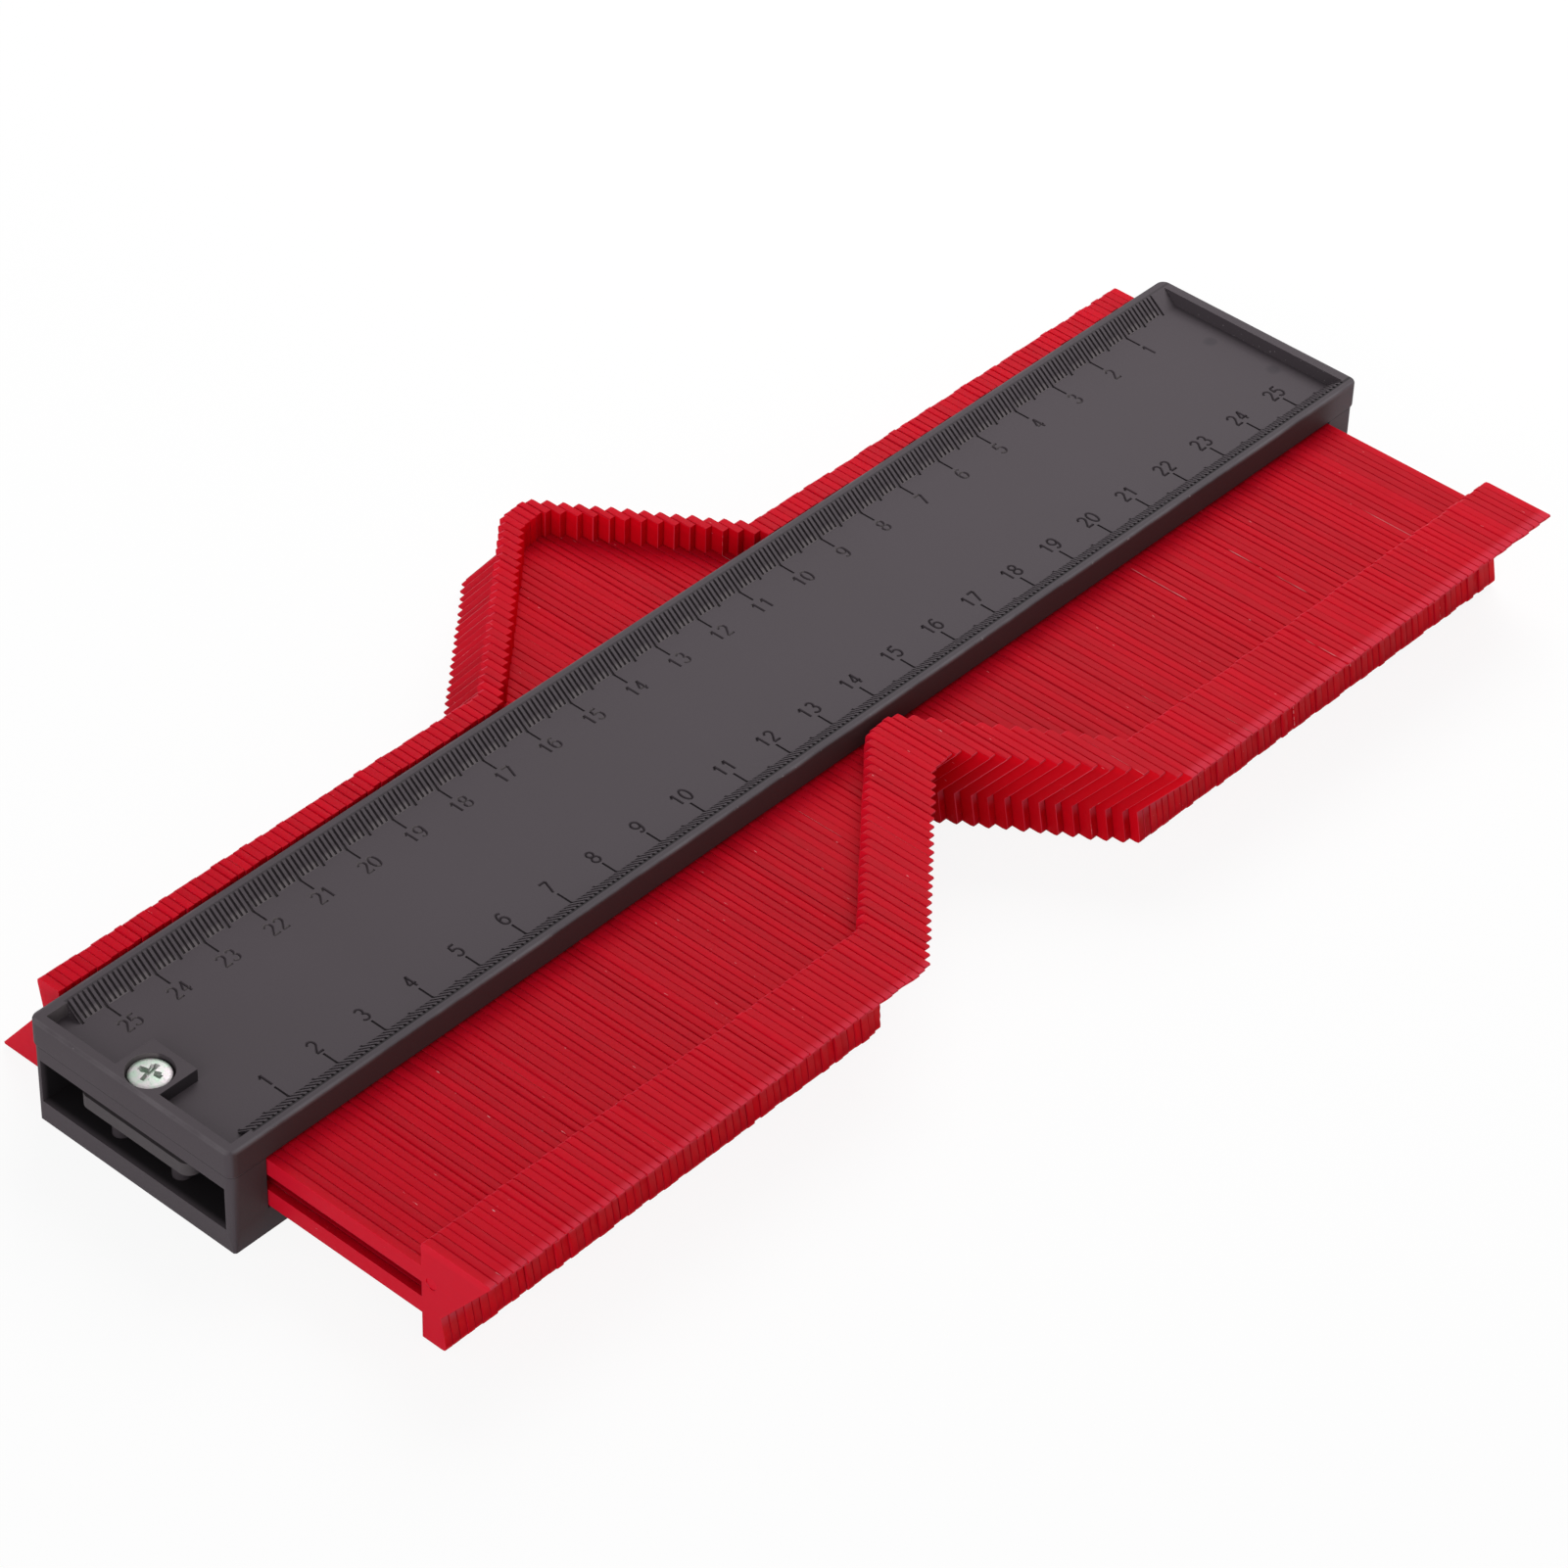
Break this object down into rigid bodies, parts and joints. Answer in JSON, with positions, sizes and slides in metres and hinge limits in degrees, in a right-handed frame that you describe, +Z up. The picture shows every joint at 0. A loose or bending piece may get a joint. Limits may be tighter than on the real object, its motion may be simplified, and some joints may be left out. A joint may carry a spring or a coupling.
{
  "type": "contour gauge",
  "caption": "Hand-held contour gauge: a row of slotted sliding teeth with beaked heads in a flat ruled body, for copying the outline of an edge.",
  "frame": {"origin": "middle of the body's underside, on the plane that it rests on", "axes": "+X along the body away from the screw end, +Y across the body in the direction the teeth slide, +Z up through the ruled top face"},
  "size_m": [0.267, 0.1358, 0.0206],
  "materials": {
    "body_plastic": "satin",
    "spine_plastic": "satin",
    "tooth_plastic": "satin",
    "zinc_steel": "polished"
  },
  "bodies": {
    "body": {"top_cover": "body_plastic", "bottom_tray": "body_plastic", "spine_bar": "spine_plastic", "clamp_screw": "zinc_steel"},
    "tooth_group_01": {"tooth_group_01": "tooth_plastic"},
    "tooth_group_02": {"tooth_group_02": "tooth_plastic"},
    "tooth_group_03": {"tooth_group_03": "tooth_plastic"},
    "tooth_group_04": {"tooth_group_04": "tooth_plastic"},
    "tooth_group_05": {"tooth_group_05": "tooth_plastic"},
    "tooth_group_06": {"tooth_group_06": "tooth_plastic"},
    "tooth_group_07": {"tooth_group_07": "tooth_plastic"},
    "tooth_group_08": {"tooth_group_08": "tooth_plastic"},
    "tooth_group_09": {"tooth_group_09": "tooth_plastic"},
    "tooth_group_10": {"tooth_group_10": "tooth_plastic"},
    "tooth_group_11": {"tooth_group_11": "tooth_plastic"},
    "tooth_group_12": {"tooth_group_12": "tooth_plastic"},
    "tooth_group_13": {"tooth_group_13": "tooth_plastic"},
    "tooth_group_14": {"tooth_group_14": "tooth_plastic"},
    "tooth_group_15": {"tooth_group_15": "tooth_plastic"},
    "tooth_group_16": {"tooth_group_16": "tooth_plastic"},
    "tooth_group_17": {"tooth_group_17": "tooth_plastic"},
    "tooth_group_18": {"tooth_group_18": "tooth_plastic"},
    "tooth_group_19": {"tooth_group_19": "tooth_plastic"},
    "tooth_group_20": {"tooth_group_20": "tooth_plastic"},
    "tooth_group_21": {"tooth_group_21": "tooth_plastic"},
    "tooth_group_22": {"tooth_group_22": "tooth_plastic"},
    "tooth_group_23": {"tooth_group_23": "tooth_plastic"},
    "tooth_group_24": {"tooth_group_24": "tooth_plastic"},
    "tooth_group_25": {"tooth_group_25": "tooth_plastic"},
    "tooth_group_26": {"tooth_group_26": "tooth_plastic"},
    "tooth_group_27": {"tooth_group_27": "tooth_plastic"},
    "tooth_group_28": {"tooth_group_28": "tooth_plastic"},
    "tooth_group_29": {"tooth_group_29": "tooth_plastic"},
    "tooth_group_30": {"tooth_group_30": "tooth_plastic"},
    "tooth_group_31": {"tooth_group_31": "tooth_plastic"},
    "tooth_group_32": {"tooth_group_32": "tooth_plastic"},
    "tooth_group_33": {"tooth_group_33": "tooth_plastic"},
    "tooth_group_34": {"tooth_group_34": "tooth_plastic"},
    "tooth_group_35": {"tooth_group_35": "tooth_plastic"},
    "tooth_group_36": {"tooth_group_36": "tooth_plastic"},
    "tooth_group_37": {"tooth_group_37": "tooth_plastic"},
    "tooth_group_38": {"tooth_group_38": "tooth_plastic"},
    "tooth_group_39": {"tooth_group_39": "tooth_plastic"},
    "tooth_group_40": {"tooth_group_40": "tooth_plastic"},
    "tooth_group_41": {"tooth_group_41": "tooth_plastic"}
  },
  "joints": [
    {"name": "slide_01", "type": "slide", "parent": "body", "child": "tooth_group_01", "axis": [0, 1, 0], "range_m": [-0.00102, 0.03139]},
    {"name": "slide_02", "type": "slide", "parent": "body", "child": "tooth_group_02", "axis": [0, 1, 0], "range_m": [-0.00096, 0.03131]},
    {"name": "slide_03", "type": "slide", "parent": "body", "child": "tooth_group_03", "axis": [0, 1, 0], "range_m": [-0.00094, 0.03138]},
    {"name": "slide_04", "type": "slide", "parent": "body", "child": "tooth_group_04", "axis": [0, 1, 0], "range_m": [-0.00092, 0.03136]},
    {"name": "slide_05", "type": "slide", "parent": "body", "child": "tooth_group_05", "axis": [0, 1, 0], "range_m": [-0.00092, 0.03132]},
    {"name": "slide_06", "type": "slide", "parent": "body", "child": "tooth_group_06", "axis": [0, 1, 0], "range_m": [-0.00091, 0.03134]},
    {"name": "slide_07", "type": "slide", "parent": "body", "child": "tooth_group_07", "axis": [0, 1, 0], "range_m": [-0.00101, 0.03131]},
    {"name": "slide_08", "type": "slide", "parent": "body", "child": "tooth_group_08", "axis": [0, 1, 0], "range_m": [-0.00091, 0.0315]},
    {"name": "slide_09", "type": "slide", "parent": "body", "child": "tooth_group_09", "axis": [0, 1, 0], "range_m": [-0.00095, 0.03148]},
    {"name": "slide_10", "type": "slide", "parent": "body", "child": "tooth_group_10", "axis": [0, 1, 0], "range_m": [-0.00091, 0.03148]},
    {"name": "slide_11", "type": "slide", "parent": "body", "child": "tooth_group_11", "axis": [0, 1, 0], "range_m": [-0.00094, 0.03131]},
    {"name": "slide_12", "type": "slide", "parent": "body", "child": "tooth_group_12", "axis": [0, 1, 0], "range_m": [-0.00101, 0.03134]},
    {"name": "slide_13", "type": "slide", "parent": "body", "child": "tooth_group_13", "axis": [0, 1, 0], "range_m": [-0.00091, 0.03138]},
    {"name": "slide_14", "type": "slide", "parent": "body", "child": "tooth_group_14", "axis": [0, 1, 0], "range_m": [-0.00092, 0.03132]},
    {"name": "slide_15", "type": "slide", "parent": "body", "child": "tooth_group_15", "axis": [0, 1, 0], "range_m": [-0.00094, 0.03136]},
    {"name": "slide_16", "type": "slide", "parent": "body", "child": "tooth_group_16", "axis": [0, 1, 0], "range_m": [-0.0011, 0.02839]},
    {"name": "slide_17", "type": "slide", "parent": "body", "child": "tooth_group_17", "axis": [0, 1, 0], "range_m": [-0.00517, 0.02342]},
    {"name": "slide_18", "type": "slide", "parent": "body", "child": "tooth_group_18", "axis": [0, 1, 0], "range_m": [-0.01043, 0.01811]},
    {"name": "slide_19", "type": "slide", "parent": "body", "child": "tooth_group_19", "axis": [0, 1, 0], "range_m": [-0.01551, 0.0131]},
    {"name": "slide_20", "type": "slide", "parent": "body", "child": "tooth_group_20", "axis": [0, 1, 0], "range_m": [-0.02064, 0.00813]},
    {"name": "slide_21", "type": "slide", "parent": "body", "child": "tooth_group_21", "axis": [0, 1, 0], "range_m": [-0.02571, 0.00276]},
    {"name": "slide_22", "type": "slide", "parent": "body", "child": "tooth_group_22", "axis": [0, 1, 0], "range_m": [-0.03089, 0.00092]},
    {"name": "slide_23", "type": "slide", "parent": "body", "child": "tooth_group_23", "axis": [0, 1, 0], "range_m": [-0.02443, 0.00147]},
    {"name": "slide_24", "type": "slide", "parent": "body", "child": "tooth_group_24", "axis": [0, 1, 0], "range_m": [-0.01539, 0.01035]},
    {"name": "slide_25", "type": "slide", "parent": "body", "child": "tooth_group_25", "axis": [0, 1, 0], "range_m": [-0.00643, 0.01934]},
    {"name": "slide_26", "type": "slide", "parent": "body", "child": "tooth_group_26", "axis": [0, 1, 0], "range_m": [-0.00035, 0.02807]},
    {"name": "slide_27", "type": "slide", "parent": "body", "child": "tooth_group_27", "axis": [0, 1, 0], "range_m": [-0.00028, 0.03215]},
    {"name": "slide_28", "type": "slide", "parent": "body", "child": "tooth_group_28", "axis": [0, 1, 0], "range_m": [-0.00028, 0.03211]},
    {"name": "slide_29", "type": "slide", "parent": "body", "child": "tooth_group_29", "axis": [0, 1, 0], "range_m": [-0.00011, 0.03214]},
    {"name": "slide_30", "type": "slide", "parent": "body", "child": "tooth_group_30", "axis": [0, 1, 0], "range_m": [-0.00014, 0.03221]},
    {"name": "slide_31", "type": "slide", "parent": "body", "child": "tooth_group_31", "axis": [0, 1, 0], "range_m": [-0.00018, 0.03211]},
    {"name": "slide_32", "type": "slide", "parent": "body", "child": "tooth_group_32", "axis": [0, 1, 0], "range_m": [-0.00012, 0.03212]},
    {"name": "slide_33", "type": "slide", "parent": "body", "child": "tooth_group_33", "axis": [0, 1, 0], "range_m": [-0.00016, 0.03214]},
    {"name": "slide_34", "type": "slide", "parent": "body", "child": "tooth_group_34", "axis": [0, 1, 0], "range_m": [-0.00011, 0.03221]},
    {"name": "slide_35", "type": "slide", "parent": "body", "child": "tooth_group_35", "axis": [0, 1, 0], "range_m": [-0.00024, 0.03216]},
    {"name": "slide_36", "type": "slide", "parent": "body", "child": "tooth_group_36", "axis": [0, 1, 0], "range_m": [-0.0001, 0.03223]},
    {"name": "slide_37", "type": "slide", "parent": "body", "child": "tooth_group_37", "axis": [0, 1, 0], "range_m": [-0.00022, 0.03219]},
    {"name": "slide_38", "type": "slide", "parent": "body", "child": "tooth_group_38", "axis": [0, 1, 0], "range_m": [-0.00016, 0.03211]},
    {"name": "slide_39", "type": "slide", "parent": "body", "child": "tooth_group_39", "axis": [0, 1, 0], "range_m": [-0.00014, 0.03218]},
    {"name": "slide_40", "type": "slide", "parent": "body", "child": "tooth_group_40", "axis": [0, 1, 0], "range_m": [-0.00012, 0.03216]},
    {"name": "slide_41", "type": "slide", "parent": "body", "child": "tooth_group_41", "axis": [0, 1, 0], "range_m": [-0.00012, 0.03212]}
  ]
}
